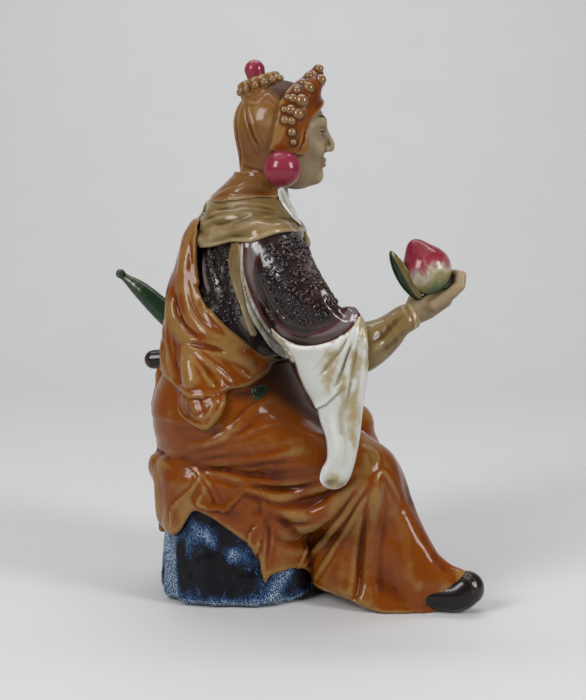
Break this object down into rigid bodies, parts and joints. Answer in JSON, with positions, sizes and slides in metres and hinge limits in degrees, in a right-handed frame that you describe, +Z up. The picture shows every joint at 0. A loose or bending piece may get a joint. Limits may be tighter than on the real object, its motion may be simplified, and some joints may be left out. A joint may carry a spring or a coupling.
{
  "type": "glazed clay figure",
  "caption": "Glazed clay figure in theatre dress, seated on a dark rock, with a pearl-trimmed helmet and a peach held out on one hand.",
  "frame": {"origin": "middle of the rock's flat underside", "axes": "+X the way the figure faces, +Y the figure's left, +Z up"},
  "size_m": [0.1967, 0.1259, 0.2895],
  "materials": {
    "amber_glaze": "glossy amber glaze on stoneware, paler on the ridges",
    "olive_glaze": "glossy khaki-olive glaze on stoneware",
    "dark_glaze": "glossy brown-black glaze over stamped scrolls",
    "white_glaze": "glossy off-white glaze running to khaki",
    "rock_glaze": "glossy blue-black glaze with pale blue speckle",
    "crimson_glaze": "glossy crimson glaze",
    "bare_clay": "unglazed fired clay"
  },
  "bodies": {
    "root": {"seated_figure": "amber_glaze"}
  },
  "joints": []
}
